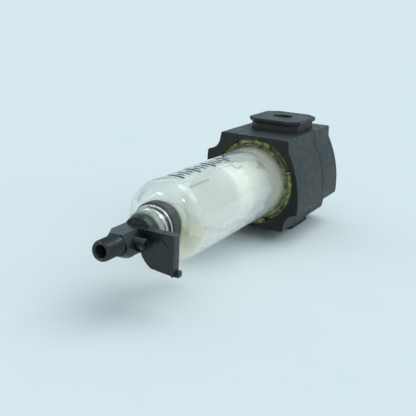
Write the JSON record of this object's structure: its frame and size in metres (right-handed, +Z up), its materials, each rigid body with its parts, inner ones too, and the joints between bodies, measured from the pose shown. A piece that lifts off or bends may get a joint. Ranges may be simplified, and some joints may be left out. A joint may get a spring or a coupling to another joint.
{
  "type": "compressed air filter",
  "caption": "Inline compressed air filter: split body with clamp flanges, clear bayonet bowl, filter element with louver and baffle, and a quarter-turn drain with a threaded outlet.",
  "frame": {"origin": "centre of the lower (outlet) port's mouth, in the plane that the lower clamp flange stands on", "axes": "+Z runs up the line through both ports; the bowl lies along -X and its drain points along -X. In use the filter is turned so that -X hangs straight down and the ports are level."},
  "size_m": [0.2183, 0.0604, 0.068],
  "materials": {
    "casting": "satin",
    "cover_plastic": "satin",
    "steel": "satin",
    "louver_plastic": "satin",
    "rubber": "matte",
    "collar_rubber": "satin",
    "sintered": "matte",
    "baffle_plastic": "satin",
    "clear_bowl": "gloss",
    "seat_nylon": "satin",
    "chrome": "polished",
    "washer_plastic": "satin",
    "drain_plastic": "satin"
  },
  "bodies": {
    "body": {"body_casting": "casting", "rear_cover": "cover_plastic", "cover_screws": "steel", "louver": "louver_plastic", "louver_gasket": "rubber", "filter_element": "sintered", "element_gasket_upper": "rubber", "element_gasket_lower": "rubber", "baffle": "baffle_plastic", "tie_rod": "steel"},
    "bowl_seal": {"bowl_o_ring": "rubber"},
    "bowl": {"bowl": "clear_bowl", "drain_seat": "seat_nylon", "seat_washer": "rubber", "drain_collar": "collar_rubber", "drain_nut": "chrome", "drain_washer": "washer_plastic"},
    "drain": {"drain_stem": "drain_plastic", "drain_o_rings": "rubber", "stem_clip": "steel", "drain_lever": "drain_plastic", "lever_pin": "drain_plastic"}
  },
  "joints": [
    {"name": "bowl_slide", "type": "slide", "parent": "body", "child": "bowl_seal", "axis": [-1, 0, 0], "range_m": [0, 0.07]},
    {"name": "bowl_turn", "type": "hinge", "parent": "bowl_seal", "child": "bowl", "pos_m": [-0.04175, 0, 0.034], "axis": [1, 0, 0], "range_deg": [0, 40]},
    {"name": "drain_turn", "type": "hinge", "parent": "bowl", "child": "drain", "pos_m": [-0.16675, 0, 0.034], "axis": [1, 0, 0], "range_deg": [0, 90]}
  ]
}
